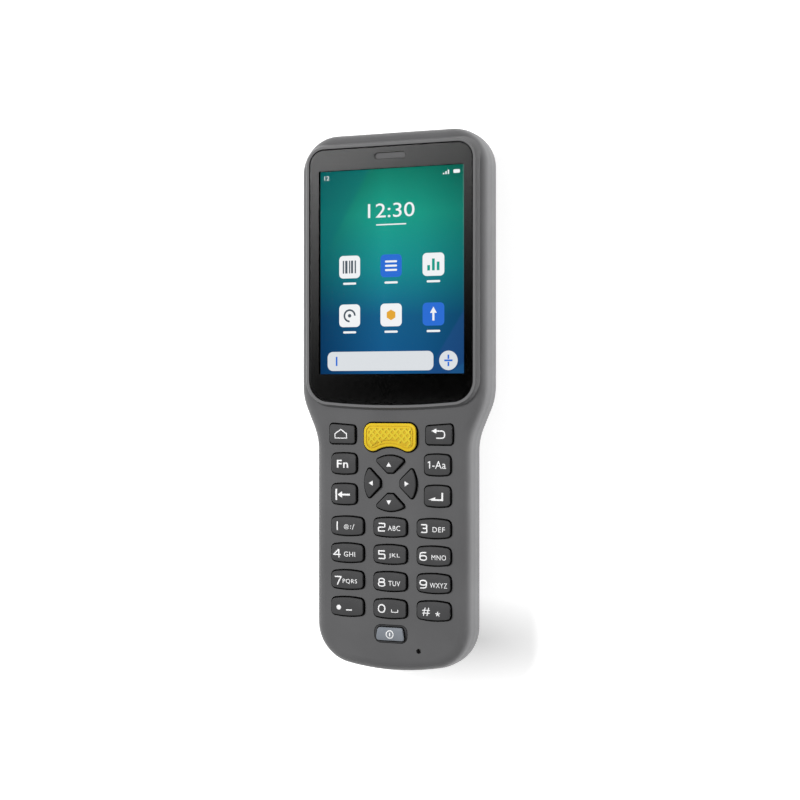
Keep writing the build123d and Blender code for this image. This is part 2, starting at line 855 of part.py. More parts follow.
with BuildPart() as key_board:
    with BuildSketch(Plane.XY.offset(key_board_z)):
        add(board_plan.sketch)
    extrude(amount=-board_thick)
save(key_board.part, "key_board")

with BuildPart() as keypad_mat:
    with BuildSketch(Plane.XY.offset(key_board_z)):
        add(board_plan.sketch)
        with Locations(*key_centres.values()):
            Circle(mat_hole, mode=Mode.SUBTRACT)
        with Locations((microphone_x, microphone_y)):
            Circle(mat_hole, mode=Mode.SUBTRACT)
    extrude(amount=mat_thick)
save(keypad_mat.part, "keypad_mat")

with BuildPart() as key_domes:
    with BuildSketch(Plane.XY.offset(key_board_z)):
        with Locations(*key_centres.values()):
            Circle(dome_radius)
    extrude(amount=dome_height, taper=45)
save(key_domes.part, "key_domes")

with BuildPart() as microphone:
    with BuildSketch(Plane.XY.offset(key_board_z)):
        with Locations((microphone_x, microphone_y)):
            Rectangle(microphone_size, microphone_size)
    extrude(amount=microphone_height)
    with BuildSketch(Plane.XY.offset(key_board_z + microphone_height)):
        with Locations((microphone_x, microphone_y)):
            Circle(microphone_hole)
    extrude(amount=-microphone_height / 2, mode=Mode.SUBTRACT)
save(microphone.part, "microphone")

with BuildPart() as power_ring:
    with BuildSketch(Plane.XY.offset(ceiling_z)):
        with Locations((0, power_y)):
            add(power_hole())
            add(resized(power_cap(), power_ring_gap), mode=Mode.SUBTRACT)
    extrude(amount=wall)
save(power_ring.part, "power_ring")

for name, hole in key_holes.items():
    x, y = key_centres[name]
    cap = Pos(x, y) * power_cap() if name == "key_power" else resized(hole, -key_gap)
    half = cap.bounding_box().size.Y / 2
    middle = cap.bounding_box().center().Y
    with BuildPart() as key:
        with BuildSketch(Plane.XY.offset(flange_top_z)):
            add(cap)
        extrude(amount=face_z + key_proud - flange_top_z)
        with BuildSketch(Plane.YZ):
            with BuildLine():
                ThreePointArc(
                    (middle - half, face_z + key_proud - key_crown),
                    (middle, face_z + key_proud),
                    (middle + half, face_z + key_proud - key_crown),
                )
                Polyline(
                    (middle + half, face_z + key_proud - key_crown),
                    (middle + half, flange_top_z),
                    (middle - half, flange_top_z),
                    (middle - half, face_z + key_proud - key_crown),
                )
            make_face()
        extrude(amount=head_half, both=True, mode=Mode.INTERSECT)
        fillet(key.faces().sort_by(Axis.Z)[-1].edges(), radius=key_edge)
        with BuildSketch(Plane.XY.offset(flange_top_z)):
            add(resized(hole, key_flange))
        extrude(amount=-key_flange_thick)
        with BuildSketch(Plane.XY.offset(flange_low_z)):
            with Locations((x, y)):
                Circle(plunger_radius)
        extrude(amount=plunger_low_z - flange_low_z)
    solid = key.part
    if name == "key_scan":
        # the grooves follow the edge, as deep all along the bowed top
        solid = solid - (grooves(cap) - Pos(0, 0, -scan_groove_depth) * solid)
    save(solid, name)

# ---- battery ----
with BuildPart() as battery:
    with BuildSketch(Plane.XY.offset(cell_low_z)):
        block(-cell_half, cell_half, cell_foot_y, cell_top_y)
    extrude(amount=cell_thick)
    fillet(battery.edges().filter_by(Axis.Y), radius=cell_round)
save(battery.part, "battery")

with BuildPart() as battery_contacts:
    with BuildSketch(Plane.XY.offset(contact_z - contact_height / 2)):
        block(-contact_width / 2, contact_width / 2, contact_y, contact_y + contact_depth)
    extrude(amount=contact_height)
    with BuildSketch(Plane(origin=(0, contact_y, contact_z), x_dir=(1, 0, 0), z_dir=(0, -1, 0))):
        with GridLocations(pin_pitch, pin_pitch, 3, 1):
            Circle(pin_radius)
    extrude(amount=cell_clear - pin_gap)
save(battery_contacts.part, "battery_contacts")

with BuildPart() as battery_cover:
    with BuildSketch():
        add(cover_outline())
    extrude(amount=back_round)
    add(rear_form(cover_drop), mode=Mode.INTERSECT)
    add(rear_form(cover_inner_z), mode=Mode.SUBTRACT)
    with BuildSketch(Plane.XY.offset(cover_inner_z)):
        for side in (-hook_x, hook_x):
            block(
                side - hook_width / 2,
                side + hook_width / 2,
                cover_foot_y - hook_reach,
                cover_foot_y + hook_root,
            )
    extrude(amount=hook_thick)
    with BuildSketch(Plane.XY.offset(cover_inner_z)):
        block(
            -tongue_width / 2,
            tongue_width / 2,
            cover_top_y - tongue_thick - swing_gap,
            cover_top_y - swing_gap,
        )
    extrude(amount=tongue_height)
    with BuildSketch():
        with Locations((0, cover_top_y)):
            Circle(nail_radius)
    extrude(amount=cover_drop + nail_depth, mode=Mode.SUBTRACT)
save(battery_cover.part, "battery_cover")

# ---- scanning end ----
with BuildPart() as scan_window:
    with BuildSketch(window_plane.offset(-window_drop)):
        RectangleRounded(window_width, window_height, window_corner)
    extrude(amount=-window_thick)
save(scan_window.part, "scan_window")

engine_plane = Plane(origin=(0, engine_front_y, window_z), x_dir=(-1, 0, 0), z_dir=(0, 1, 0))
with BuildPart() as scan_engine:
    with BuildSketch(Plane.XY.offset(engine_low_z)):
        block(-engine_width / 2, engine_width / 2, engine_back_y, engine_front_y)
    extrude(amount=engine_height)
    fillet(scan_engine.edges().filter_by(Axis.Z), radius=engine_round)
    with BuildSketch(engine_plane):
        with Locations((engine_lens_x, 0)):
            Circle(engine_lens_radius)
    extrude(amount=engine_lens_proud)
    with BuildSketch(engine_plane):
        with Locations((engine_lamp_x, 0)):
            Circle(engine_lamp_radius)
    extrude(amount=-engine_lens_proud, mode=Mode.SUBTRACT)
save(scan_engine.part, "scan_engine")

# ---- foot end ----
with BuildPart() as usb_socket:
    with BuildSketch(usb_plane.offset(usb_mouth_y - usb_front_y)):
        RectangleRounded(usb_width, usb_height, usb_height / 2 - usb_wall)
    extrude(amount=-usb_depth)
    with BuildSketch(usb_plane.offset(usb_mouth_y - usb_front_y)):
        RectangleRounded(usb_width - 2 * usb_wall, usb_height - 2 * usb_wall, usb_height / 2 - 2 * usb_wall)
        Rectangle(usb_tongue_width, usb_tongue_thick, mode=Mode.SUBTRACT)
    extrude(amount=usb_wall - usb_depth, mode=Mode.SUBTRACT)
save(usb_socket.part, "usb_socket")

with BuildPart() as strap_pin:
    with BuildSketch(Plane.YZ):
        with Locations((strap_y, strap_z)):
            Circle(strap_pin_radius)
    extrude(amount=strap_width / 2 + strap_grip, both=True)
save(strap_pin.part, "strap_pin")

# ---- back ----
with BuildPart() as loudspeaker:
    with BuildSketch(Plane.XY.offset(wall)):
        with Locations((0, speaker_y)):
            RectangleRounded(speaker_width, speaker_length, speaker_corner)
    extrude(amount=speaker_thick)
save(loudspeaker.part, "loudspeaker")

with BuildPart() as vibration_motor:
    with BuildSketch(Plane.XY.offset(wall)):
        with Locations((motor_x, motor_y)):
            Circle(motor_radius)
    extrude(amount=motor_thick)
save(vibration_motor.part, "vibration_motor")

with BuildPart() as housing_screws:
    with BuildSketch(Plane.XY.offset(screw_seat_z)):
        with Locations(*posts):
            Circle(screw_head_radius)
    extrude(amount=-screw_head_height)
    with BuildSketch(Plane.XY.offset(screw_seat_z)):
        with Locations(*posts):
            Circle(screw_radius)
    extrude(amount=screw_tip_z - screw_seat_z)
save(housing_screws.part, "housing_screws")
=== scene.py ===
import bmesh
import bpy
import json
import math
from mathutils import Matrix, Vector


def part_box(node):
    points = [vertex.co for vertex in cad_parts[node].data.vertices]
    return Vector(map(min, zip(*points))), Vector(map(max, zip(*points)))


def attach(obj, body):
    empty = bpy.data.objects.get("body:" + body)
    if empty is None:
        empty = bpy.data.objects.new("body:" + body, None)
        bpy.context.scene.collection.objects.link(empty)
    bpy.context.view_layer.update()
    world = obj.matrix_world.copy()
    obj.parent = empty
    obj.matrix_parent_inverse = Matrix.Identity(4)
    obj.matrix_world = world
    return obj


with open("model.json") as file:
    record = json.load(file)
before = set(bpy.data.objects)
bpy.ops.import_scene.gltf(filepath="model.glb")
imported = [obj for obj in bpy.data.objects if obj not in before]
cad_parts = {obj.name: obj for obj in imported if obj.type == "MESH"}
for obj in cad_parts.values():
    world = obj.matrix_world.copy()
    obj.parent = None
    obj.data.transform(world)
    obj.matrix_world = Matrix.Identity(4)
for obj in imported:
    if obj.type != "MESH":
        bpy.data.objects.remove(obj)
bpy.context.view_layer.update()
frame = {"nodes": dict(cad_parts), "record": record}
nodes = frame["nodes"]
mm = 0.001
print("frame loaded:", len(nodes), "nodes")


# helpers for colour and nodes

def linear(hexColour):
    # sRGB hex to the linear colour that a shader takes
    values = [int(hexColour[i:i + 2], 16) / 255 for i in (1, 3, 5)]
    curve = [v / 12.92 if v <= 0.04045 else ((v + 0.055) / 1.055) ** 2.4 for v in values]
    return (*curve, 1.0)


def addNode(tree, kind, settings=None, inputs=None, links=None):
    # one node, with its settings, its fixed inputs and the outputs that feed it
    node = tree.nodes.new(kind)
    for key, value in (settings or {}).items():
        setattr(node, key, value)
    for key, value in (inputs or {}).items():
        node.inputs[key].default_value = value
    for key, source in (links or {}).items():
        tree.links.new(source, node.inputs[key])
    return node


def emptyMaterial(name):
    # a material whose nodes are still to come
    material = bpy.data.materials.new(name)
    material.use_nodes = True
    material.node_tree.nodes.clear()
    return material, material.node_tree


def newMaterial(name, inputs):
    # a material with only a Principled shader on its output
    material, tree = emptyMaterial(name)
    shader = addNode(tree, "ShaderNodeBsdfPrincipled", inputs=inputs)
    addNode(tree, "ShaderNodeOutputMaterial", links={"Surface": shader.outputs["BSDF"]})
    return material, tree, shader


def setRamp(node, stops):
    # colour stops of a ramp, as (place, hex)
    elements = node.color_ramp.elements
    while len(elements) < len(stops):
        elements.new(0.5)
    for element, (place, colour) in zip(elements, stops):
        element.position = place
        element.color = linear(colour)


# helpers for meshes

def linked(name, bm, material):
    # a bmesh as an object of the scene
    data = bpy.data.meshes.new(name)
    bm.to_mesh(data)
    bm.free()
    data.materials.append(material)
    thing = bpy.data.objects.new(name, data)
    bpy.context.scene.collection.objects.link(thing)
    return thing


def meshObject(name, bm, material, body):
    # turns a bmesh in millimetres into a flat-shaded piece in metres that rides on a body
    bmesh.ops.remove_doubles(bm, verts=bm.verts, dist=0.0005)
    bmesh.ops.recalc_face_normals(bm, faces=bm.faces)
    bmesh.ops.scale(bm, vec=(mm, mm, mm), verts=bm.verts)
    for face in bm.faces:
        face.smooth = False
    piece = linked(name, bm, material)
    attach(piece, body)


def hideFrom(thing, *rays):
    # kinds of ray that pass a lamp or card as if it weren't there
    for ray in rays:
        setattr(thing, "visible_" + ray, False)


def facesOf(node, keep):
    # a merged copy of some faces of a CAD node, in millimetres
    bm = bmesh.new()
    bm.from_mesh(nodes[node].data)
    bmesh.ops.scale(bm, vec=(1 / mm, 1 / mm, 1 / mm), verts=bm.verts)
    bmesh.ops.remove_doubles(bm, verts=bm.verts, dist=0.001)
    bmesh.ops.delete(bm, geom=[face for face in bm.faces if not keep(face)], context="FACES")
    return bm


def merged(parts):
    # several small bmeshes as one
    total = bmesh.new()
    for part in parts:
        holder = bpy.data.meshes.new("holder")
        part.to_mesh(holder)
        part.free()
        total.from_mesh(holder)
        bpy.data.meshes.remove(holder)
    return total


def cut(bm, place, way, clear=False):
    # cuts the whole mesh along a plane, and where asked clears what lies beyond it
    bmesh.ops.bisect_plane(bm, geom=bm.verts[:] + bm.edges[:] + bm.faces[:], dist=0.0001,
                           plane_co=place, plane_no=way, clear_outer=clear)


def thicken(bm, low, high):
    # turns a flat shape at z 0 into a closed slab between two heights
    made = bmesh.ops.extrude_face_region(bm, geom=bm.faces[:])
    raised = [v for v in made["geom"] if isinstance(v, bmesh.types.BMVert)]
    lower = [v for v in bm.verts if v not in raised]
    bmesh.ops.translate(bm, vec=(0, 0, high), verts=raised)
    bmesh.ops.translate(bm, vec=(0, 0, low), verts=lower)
    return bm


def spot(x, y, turn):
    # a place on the plane z 0, turned about its upright axis
    return Matrix.Translation((x, y, 0)) @ Matrix.Rotation(turn, 4, "Z")


def rectangle(place, width, height):
    # a flat rectangle with its middle at a place
    bm = bmesh.new()
    bmesh.ops.create_grid(bm, x_segments=1, y_segments=1, size=0.5,
                          matrix=place @ Matrix.Diagonal((width, height, 1, 1)))
    return bm


def tile(x, y, width, height, corner, low, high, turn=0.0):
    # a slab with rounded corners
    bm = rectangle(spot(x, y, turn), width, height)
    if corner:
        bmesh.ops.bevel(bm, geom=bm.verts[:], offset=corner, segments=6, profile=0.5,
                        affect="VERTICES", material=-1)
    return thicken(bm, low, high)


def disc(x, y, radius, low, high, sides=32, turn=0.0):
    # a round dot, or with few sides a triangle or hexagon
    bm = bmesh.new()
    bmesh.ops.create_circle(bm, cap_ends=True, segments=sides, radius=radius, matrix=spot(x, y, turn))
    return thicken(bm, low, high)


def band(x, y, radius, width, start, end, low, high):
    # a flat arc of that width, from one angle to another
    bm = bmesh.new()
    middle = Vector((x, y, 0))
    lead = Vector((math.cos(start), math.sin(start), 0))
    inner = bm.verts.new(middle + lead * (radius - width / 2))
    outer = bm.verts.new(middle + lead * (radius + width / 2))
    edge = bm.edges.new((inner, outer))
    whole = abs(end - start) > 2 * math.pi - 0.001
    bmesh.ops.spin(bm, geom=[inner, outer, edge], cent=middle, axis=(0, 0, 1), angle=end - start,
                   steps=24, use_merge=whole)
    return thicken(bm, low, high)


def wedge(points, low, high):
    # a slab with straight sides between given corners
    bm = bmesh.new()
    corners = [bm.verts.new((x, y, 0)) for x, y in points]
    bmesh.ops.contextual_create(bm, geom=corners)
    return thicken(bm, low, high)


def stroke(start, end, width, low, high):
    # a straight line of that width with nearly round ends
    (x0, y0), (x1, y1) = start, end
    length = math.hypot(x1 - x0, y1 - y0) + width
    turn = math.atan2(y1 - y0, x1 - x0)
    return tile((x0 + x1) / 2, (y0 + y1) / 2, length, width, width * 0.45, low, high, turn)


def meshOfCurve(curve):
    # what a curve or text looks like as a bmesh, after which the curve is gone
    holder = bpy.data.objects.new(curve.name, curve)
    bpy.context.scene.collection.objects.link(holder)
    data = bpy.data.meshes.new_from_object(holder)
    bm = bmesh.new()
    bm.from_mesh(data)
    bpy.data.objects.remove(holder)
    bpy.data.curves.remove(curve)
    bpy.data.meshes.remove(data)
    return bm


def marking(points, width, low, high, closed=False, rounded=True):
    # a flattened round line through given points, rounded like a plotted digit
    curve = bpy.data.curves.new("marking", "CURVE")
    curve.dimensions = "3D"
    curve.bevel_depth = width / 2
    curve.bevel_resolution = 2
    curve.use_fill_caps = True
    curve.resolution_u = 4
    line = curve.splines.new("NURBS" if rounded else "POLY")
    line.points.add(len(points) - 1)
    for point, (x, y) in zip(line.points, points):
        point.co = (x, y, 0, 1)
    line.use_cyclic_u = closed
    if rounded:
        line.order_u = 3
        line.use_endpoint_u = not closed
    bm = meshOfCurve(curve)
    bmesh.ops.scale(bm, vec=(1, 1, (high - low) / width), verts=bm.verts)
    bmesh.ops.translate(bm, vec=(0, 0, (low + high) / 2), verts=bm.verts)
    return bm


def lettering(text, left, right, foot, top, low, high, weight=0.0, spread=1.0):
    # lettering in the plain font, fitted into a box
    curve = bpy.data.curves.new("lettering", "FONT")
    curve.body = text
    curve.resolution_u = 4
    curve.offset = weight
    curve.space_character = spread
    bm = meshOfCurve(curve)
    bmesh.ops.remove_doubles(bm, verts=bm.verts, dist=0.0001)
    xs = [v.co.x for v in bm.verts]
    ys = [v.co.y for v in bm.verts]
    bmesh.ops.translate(bm, vec=(-min(xs), -min(ys), 0), verts=bm.verts)
    size = ((right - left) / (max(xs) - min(xs)), (top - foot) / (max(ys) - min(ys)), 1)
    bmesh.ops.scale(bm, vec=size, verts=bm.verts)
    bmesh.ops.translate(bm, vec=(left, foot, 0), verts=bm.verts)
    return thicken(bm, low, high)


# camera, floor and light: places and sizes in metres, turn in degrees, lens and sensor in millimetres

view = {"turn": 21.355, "distance": 0.4262, "aim": (0, 0.0008, 0.021), "lens": 68.63, "sensor": 36,
        "shift": (0.0135, -0.00205)}


def makeCamera():
    # looks at the face from above and a little from the right
    turn = math.radians(view["turn"])
    camera = bpy.data.objects.new("camera", bpy.data.cameras.new("camera"))
    camera.data.lens = view["lens"]
    camera.data.sensor_width = view["sensor"]
    camera.data.shift_x, camera.data.shift_y = view["shift"]
    away = Vector((math.sin(turn), 0, math.cos(turn)))
    camera.location = Vector(view["aim"]) + view["distance"] * away
    camera.rotation_euler = (0, turn, 0)
    bpy.context.scene.collection.objects.link(camera)
    bpy.context.scene.camera = camera


paper = {"size": 6.0, "colour": "#f4f4f4", "lift": 0.66, "shadowLift": 0.3, "shadowPlace": (0.018, -0.0685),
         "shadowReach": (0.04, 0.0125)}


def makeFloor():
    # white paper: the camera and glossy pieces see it lifted to white, and least beside the foot, where
    # the soft shadow stays
    material, tree, shader = newMaterial("paperSweep", {"Base Color": linear(paper["colour"]),
                                                        "Roughness": 0.9, "Emission Color": (1, 1, 1, 1)})
    path = addNode(tree, "ShaderNodeLightPath")
    seen = addNode(tree, "ShaderNodeMath", {"operation": "MAXIMUM"},
                   links={0: path.outputs["Is Camera Ray"], 1: path.outputs["Is Glossy Ray"]})
    place = addNode(tree, "ShaderNodeTexCoord")
    (x, y), (reachX, reachY) = paper["shadowPlace"], paper["shadowReach"]
    oval = addNode(tree, "ShaderNodeVectorMath", {"operation": "MULTIPLY_ADD"},
                   {1: (1 / reachX, 1 / reachY, 0), 2: (-x / reachX, -y / reachY, 0)},
                   {0: place.outputs["Object"]})
    away = addNode(tree, "ShaderNodeVectorMath", {"operation": "LENGTH"}, links={0: oval.outputs["Vector"]})
    amount = addNode(tree, "ShaderNodeMapRange",
                     inputs={"To Min": paper["shadowLift"], "To Max": paper["lift"]},
                     links={"Value": away.outputs["Value"]})
    lift = addNode(tree, "ShaderNodeMath", {"operation": "MULTIPLY"},
                   links={0: seen.outputs[0], 1: amount.outputs["Result"]})
    tree.links.new(lift.outputs[0], shader.inputs["Emission Strength"])
    floor = linked("floor", rectangle(Matrix(), paper["size"], paper["size"]), material)


# along its slope the card brightens from dark to bright, and its glow is taken to the power of fall
reflector = {"place": (-0.155, 0.08, 0.418), "size": (0.13, 0.17), "slope": (-0.55, 1, 0), "dark": 0.084,
             "bright": 0.247, "glow": 1.6, "fall": 2.0}


def makeReflector():
    # pale card mirrored in the cover glass, bright at the scanning end and dark at the foot
    material, tree = emptyMaterial("paleCard")
    place = addNode(tree, "ShaderNodeTexCoord")
    along = addNode(tree, "ShaderNodeVectorMath", {"operation": "DOT_PRODUCT"}, {1: reflector["slope"]},
                    {0: place.outputs["Object"]})
    fade = addNode(tree, "ShaderNodeMapRange",
                   inputs={"From Min": reflector["dark"], "From Max": reflector["bright"],
                           "To Max": reflector["glow"]},
                   links={"Value": along.outputs["Value"]})
    fall = addNode(tree, "ShaderNodeMath", {"operation": "POWER"}, {1: reflector["fall"]},
                   {0: fade.outputs["Result"]})
    glow = addNode(tree, "ShaderNodeEmission", links={"Strength": fall.outputs[0]})
    addNode(tree, "ShaderNodeOutputMaterial", links={"Surface": glow.outputs[0]})
    shape = rectangle(Matrix.Translation(reflector["place"]), *reflector["size"])
    card = linked("reflector", shape, material)
    hideFrom(card, "camera", "diffuse", "shadow")


room = {"level": 0.37}


def makeRoom():
    # even white light from all sides, which the camera sees as plain white
    world = bpy.data.worlds.new("studio")
    world.use_nodes = True
    tree = world.node_tree
    background = tree.nodes["Background"]
    background.inputs["Color"].default_value = (1, 1, 1, 1)
    path = addNode(tree, "ShaderNodeLightPath")
    level = addNode(tree, "ShaderNodeMath", {"operation": "MAXIMUM"}, {1: room["level"]},
                    {0: path.outputs["Is Camera Ray"]})
    tree.links.new(level.outputs[0], background.inputs["Strength"])
    bpy.context.scene.world = world
    bpy.context.scene.view_settings.view_transform = "Standard"


lamps = {
    "key": {"place": (-0.6, 0.3, 0.7), "target": (0, 0, 0), "size": (0.25, 0.25), "power": 9.0},
    "side": {"place": (0.6, 0.0, 0.03), "target": (0, 0, 0.014), "size": (0.9, 0.06), "power": 6.3},
}


def makeLamp(name, recipe):
    # soft box that lights the terminal and is neither seen nor mirrored
    lamp = bpy.data.lights.new(name, "AREA")
    lamp.shape = "RECTANGLE"
    lamp.size, lamp.size_y = recipe["size"]
    lamp.energy = recipe["power"]
    holder = bpy.data.objects.new(name, lamp)
    place, target = Vector(recipe["place"]), Vector(recipe["target"])
    holder.location = place
    holder.rotation_euler = (target - place).to_track_quat("-Z", "Y").to_euler()
    hideFrom(holder, "camera", "glossy", "transmission")
    bpy.context.scene.collection.objects.link(holder)


flag = {"place": (0.06, 0, 0.024), "size": (0.008, 0.6), "colour": "#101010"}


def makeFlag():
    # dark card beside the terminal: it keeps the low side lamp off the rounded upper edge
    material = newMaterial("blackFelt", {"Base Color": linear(flag["colour"]), "Roughness": 1.0})[0]
    upright = Matrix.Translation(flag["place"]) @ Matrix.Rotation(math.pi / 2, 4, "Y")
    card = linked("flag", rectangle(upright, *flag["size"]), material)
    hideFrom(card, "camera", "diffuse", "glossy", "transmission")


makeCamera()
makeFloor()
makeReflector()
makeRoom()
for lampName, lampRecipe in lamps.items():
    makeLamp(lampName, lampRecipe)
makeFlag()
print("studio made:", len(lamps), "lamps")


# materials, with every length in millimetres

def insideBox(tree, point, middle, half):
    # 1 inside a box of the object's own space, 0 outside
    parts = addNode(tree, "ShaderNodeSeparateXYZ", links={0: point})
    inside = None
    for axis, centre, reach in zip("XYZ", middle, half):
        near = addNode(tree, "ShaderNodeMath", {"operation": "COMPARE"}, {1: centre * mm, 2: reach * mm},
                       {0: parts.outputs[axis]})
        if inside:
            near = addNode(tree, "ShaderNodeMath", {"operation": "MULTIPLY"},
                           links={0: inside.outputs[0], 1: near.outputs[0]})
        inside = near
    return inside.outputs[0]


def mouldedPlastic(name, recipe):
    # spark-eroded injection moulding: an even matt skin with a fine grain and faint cloudiness,
    # and some zones in a colour of their own
    material, tree, shader = newMaterial(name, {"IOR": 1.49})
    place = addNode(tree, "ShaderNodeTexCoord")
    point = place.outputs["Object"]
    cloud = addNode(tree, "ShaderNodeTexNoise", inputs={"Scale": 1 / (recipe["cloud"] * mm), "Detail": 3.0},
                    links={"Vector": point})
    tint = addNode(tree, "ShaderNodeValToRGB", links={"Fac": cloud.outputs["Fac"]})
    setRamp(tint, [(0.3, recipe["dark"]), (0.7, recipe["pale"])])
    colour = tint.outputs["Color"]
    for middle, half, zoneColour in recipe.get("zones", []):
        zone = addNode(tree, "ShaderNodeMix", {"data_type": "RGBA"}, {7: linear(zoneColour)},
                       {0: insideBox(tree, point, middle, half), 6: colour})
        colour = zone.outputs[2]
    tree.links.new(colour, shader.inputs["Base Color"])
    grain = addNode(tree, "ShaderNodeTexNoise",
                    inputs={"Scale": 1 / (recipe["grain"] * mm), "Detail": 4.0, "Roughness": 0.6},
                    links={"Vector": point})
    rough = addNode(tree, "ShaderNodeMapRange",
                    inputs={"To Min": recipe["smooth"], "To Max": recipe["rough"]},
                    links={"Value": grain.outputs["Fac"]})
    tree.links.new(rough.outputs["Result"], shader.inputs["Roughness"])
    bump = addNode(tree, "ShaderNodeBump", inputs={"Strength": recipe["bump"], "Distance": 0.05 * mm},
                   links={"Height": grain.outputs["Fac"]})
    tree.links.new(bump.outputs["Normal"], shader.inputs["Normal"])
    return material


def bareMetal(name, recipe):
    # cast, pressed or turned metal, its gloss broken up by a fine unevenness
    material, tree, shader = newMaterial(name, {"Base Color": linear(recipe["colour"]), "Metallic": 1.0,
                                                "Roughness": recipe["rough"]})
    place = addNode(tree, "ShaderNodeTexCoord")
    skin = addNode(tree, "ShaderNodeTexNoise", inputs={"Scale": 1 / (recipe["grain"] * mm), "Detail": 2.0},
                   links={"Vector": place.outputs["Object"]})
    bump = addNode(tree, "ShaderNodeBump", inputs={"Strength": 0.15, "Distance": 0.03 * mm},
                   links={"Height": skin.outputs["Fac"]})
    tree.links.new(bump.outputs["Normal"], shader.inputs["Normal"])
    return material


def addHaze(tree, shader, recipe):
    # roughness that drifts between two values from patch to patch
    place = addNode(tree, "ShaderNodeTexCoord")
    haze = addNode(tree, "ShaderNodeTexNoise", inputs={"Scale": 1 / (recipe["patch"] * mm), "Detail": 2.0},
                   links={"Vector": place.outputs["Object"]})
    drift = addNode(tree, "ShaderNodeMapRange",
                    inputs={"To Min": recipe["smooth"], "To Max": recipe["rough"]},
                    links={"Value": haze.outputs["Fac"]})
    tree.links.new(drift.outputs["Result"], shader.inputs["Roughness"])
    return place.outputs["Object"]


def polishedGlass(name, recipe):
    # flat polished glass with a trace of haze; outside its clear box a hard coat adds gloss
    material, tree, shader = newMaterial(name, {"Base Color": linear(recipe["colour"]), "IOR": recipe["ior"],
                                                "Transmission Weight": recipe["weight"]})
    point = addHaze(tree, shader, recipe)
    if "clear" in recipe:
        shader.inputs["Coat IOR"].default_value = recipe["coatIor"]
        shader.inputs["Coat Roughness"].default_value = recipe["coatRough"]
        border = addNode(tree, "ShaderNodeMath", {"operation": "SUBTRACT"}, {0: 1.0},
                         {1: insideBox(tree, point, *recipe["clear"])})
        tree.links.new(border.outputs[0], shader.inputs["Coat Weight"])
    return material


def screenPrint(name, recipe):
    # ceramic ink fired onto the underside of the glass: its gloss is that of the glass
    material, tree, shader = newMaterial(name, {"Base Color": linear(recipe["colour"]),
                                                "Specular IOR Level": 0.0})
    addHaze(tree, shader, recipe)
    return material


def wovenGauze(name, recipe):
    # painted gauze, its wires a small check of two greys
    material, tree, shader = newMaterial(name, {"Roughness": recipe["rough"]})
    place = addNode(tree, "ShaderNodeTexCoord")
    wires = addNode(tree, "ShaderNodeTexChecker",
                    inputs={"Scale": 1 / (recipe["pitch"] * mm), "Color1": linear(recipe["pale"]),
                            "Color2": linear(recipe["dark"])},
                    links={"Vector": place.outputs["Object"]})
    tree.links.new(wires.outputs["Color"], shader.inputs["Base Color"])
    return material


# zones as middle, half size and colour: the walls of the narrow gaps around the keys are painted near black
# as shade, because light hardly reaches them, and the flat of the lip around the glass is painted paler as a
# highlight
# painted shade: the key sides below their tops and the walls of the key holes are coloured near black
keySideShade = [((0, -37, 16), (40, 60, 4.14), "#060606")]
keyHoleShade = [((0, -33, 17.9), (18.8, 29.5, 1.86), "#060606"), ((0, -65, 17.9), (6, 3.2, 1.86), "#060606")]
# painted highlight: the flat top of the lip is coloured a paler grey
lipHighlight = [((0, 37, 21), (30, 42, 0.03), "#707071")]
plastics = {
    # PC/ABS casing: mid grey, grain 0.3 mm
    "mouldedCasing": {"dark": "#5c5c5d", "pale": "#626263", "cloud": 14, "grain": 0.3, "smooth": 0.42,
                      "rough": 0.56, "bump": 0.35, "zones": keyHoleShade + lipHighlight},
    # polycarbonate key caps: darker, a little smoother
    "mouldedKeys": {"dark": "#434344", "pale": "#49494a", "cloud": 8, "grain": 0.22, "smooth": 0.34,
                    "rough": 0.46, "bump": 0.2, "zones": keySideShade},
    # polycarbonate scan key in signal yellow
    "mouldedYellow": {"dark": "#dfbd20", "pale": "#e5c428", "cloud": 8, "grain": 0.22, "smooth": 0.36,
                      "rough": 0.46, "bump": 0.15, "zones": keySideShade},
    # the same yellow on the ribs, painted lighter as a highlight, and a little smoother
    "mouldedYellowHighlight": {"dark": "#dec52c", "pale": "#e3cc37", "cloud": 8, "grain": 0.22, "smooth": 0.3,
                         "rough": 0.4, "bump": 0.1},
    # and painted darker as shade in the grooves and between the ribs
    "mouldedYellowShade": {"dark": "#d4b024", "pale": "#d9b72a", "cloud": 8, "grain": 0.22, "smooth": 0.5,
                           "rough": 0.6, "bump": 0.1},
    # painted polycarbonate power key
    "mouldedBlueGrey": {"dark": "#7c828a", "pale": "#868b92", "cloud": 6, "grain": 0.2, "smooth": 0.3,
                        "rough": 0.42, "bump": 0.15, "zones": keySideShade},
    # a paler line along the rubber ring of the power key
    "mouldedRubberLine": {"dark": "#3e3e40", "pale": "#464648", "cloud": 5, "grain": 0.25, "smooth": 0.5,
                          "rough": 0.7, "bump": 0.2},
    # silicone and foam: black, soft, no gloss
    "mouldedRubber": {"dark": "#151516", "pale": "#1c1c1d", "cloud": 5, "grain": 0.25, "smooth": 0.6,
                      "rough": 0.8, "bump": 0.25},
    # grey translucent silicone of the key mat
    "mouldedSilicone": {"dark": "#6c6e70", "pale": "#77797b", "cloud": 9, "grain": 0.3, "smooth": 0.5,
                        "rough": 0.65, "bump": 0.15},
    # glass-filled nylon of small components and the battery shell
    "mouldedComponent": {"dark": "#202123", "pale": "#292a2c", "cloud": 6, "grain": 0.25, "smooth": 0.4,
                         "rough": 0.6, "bump": 0.2},
    # epoxy board under green solder mask
    "solderMask": {"dark": "#114a2b", "pale": "#165a35", "cloud": 3, "grain": 0.4, "smooth": 0.2,
                   "rough": 0.35, "bump": 0.1},
}
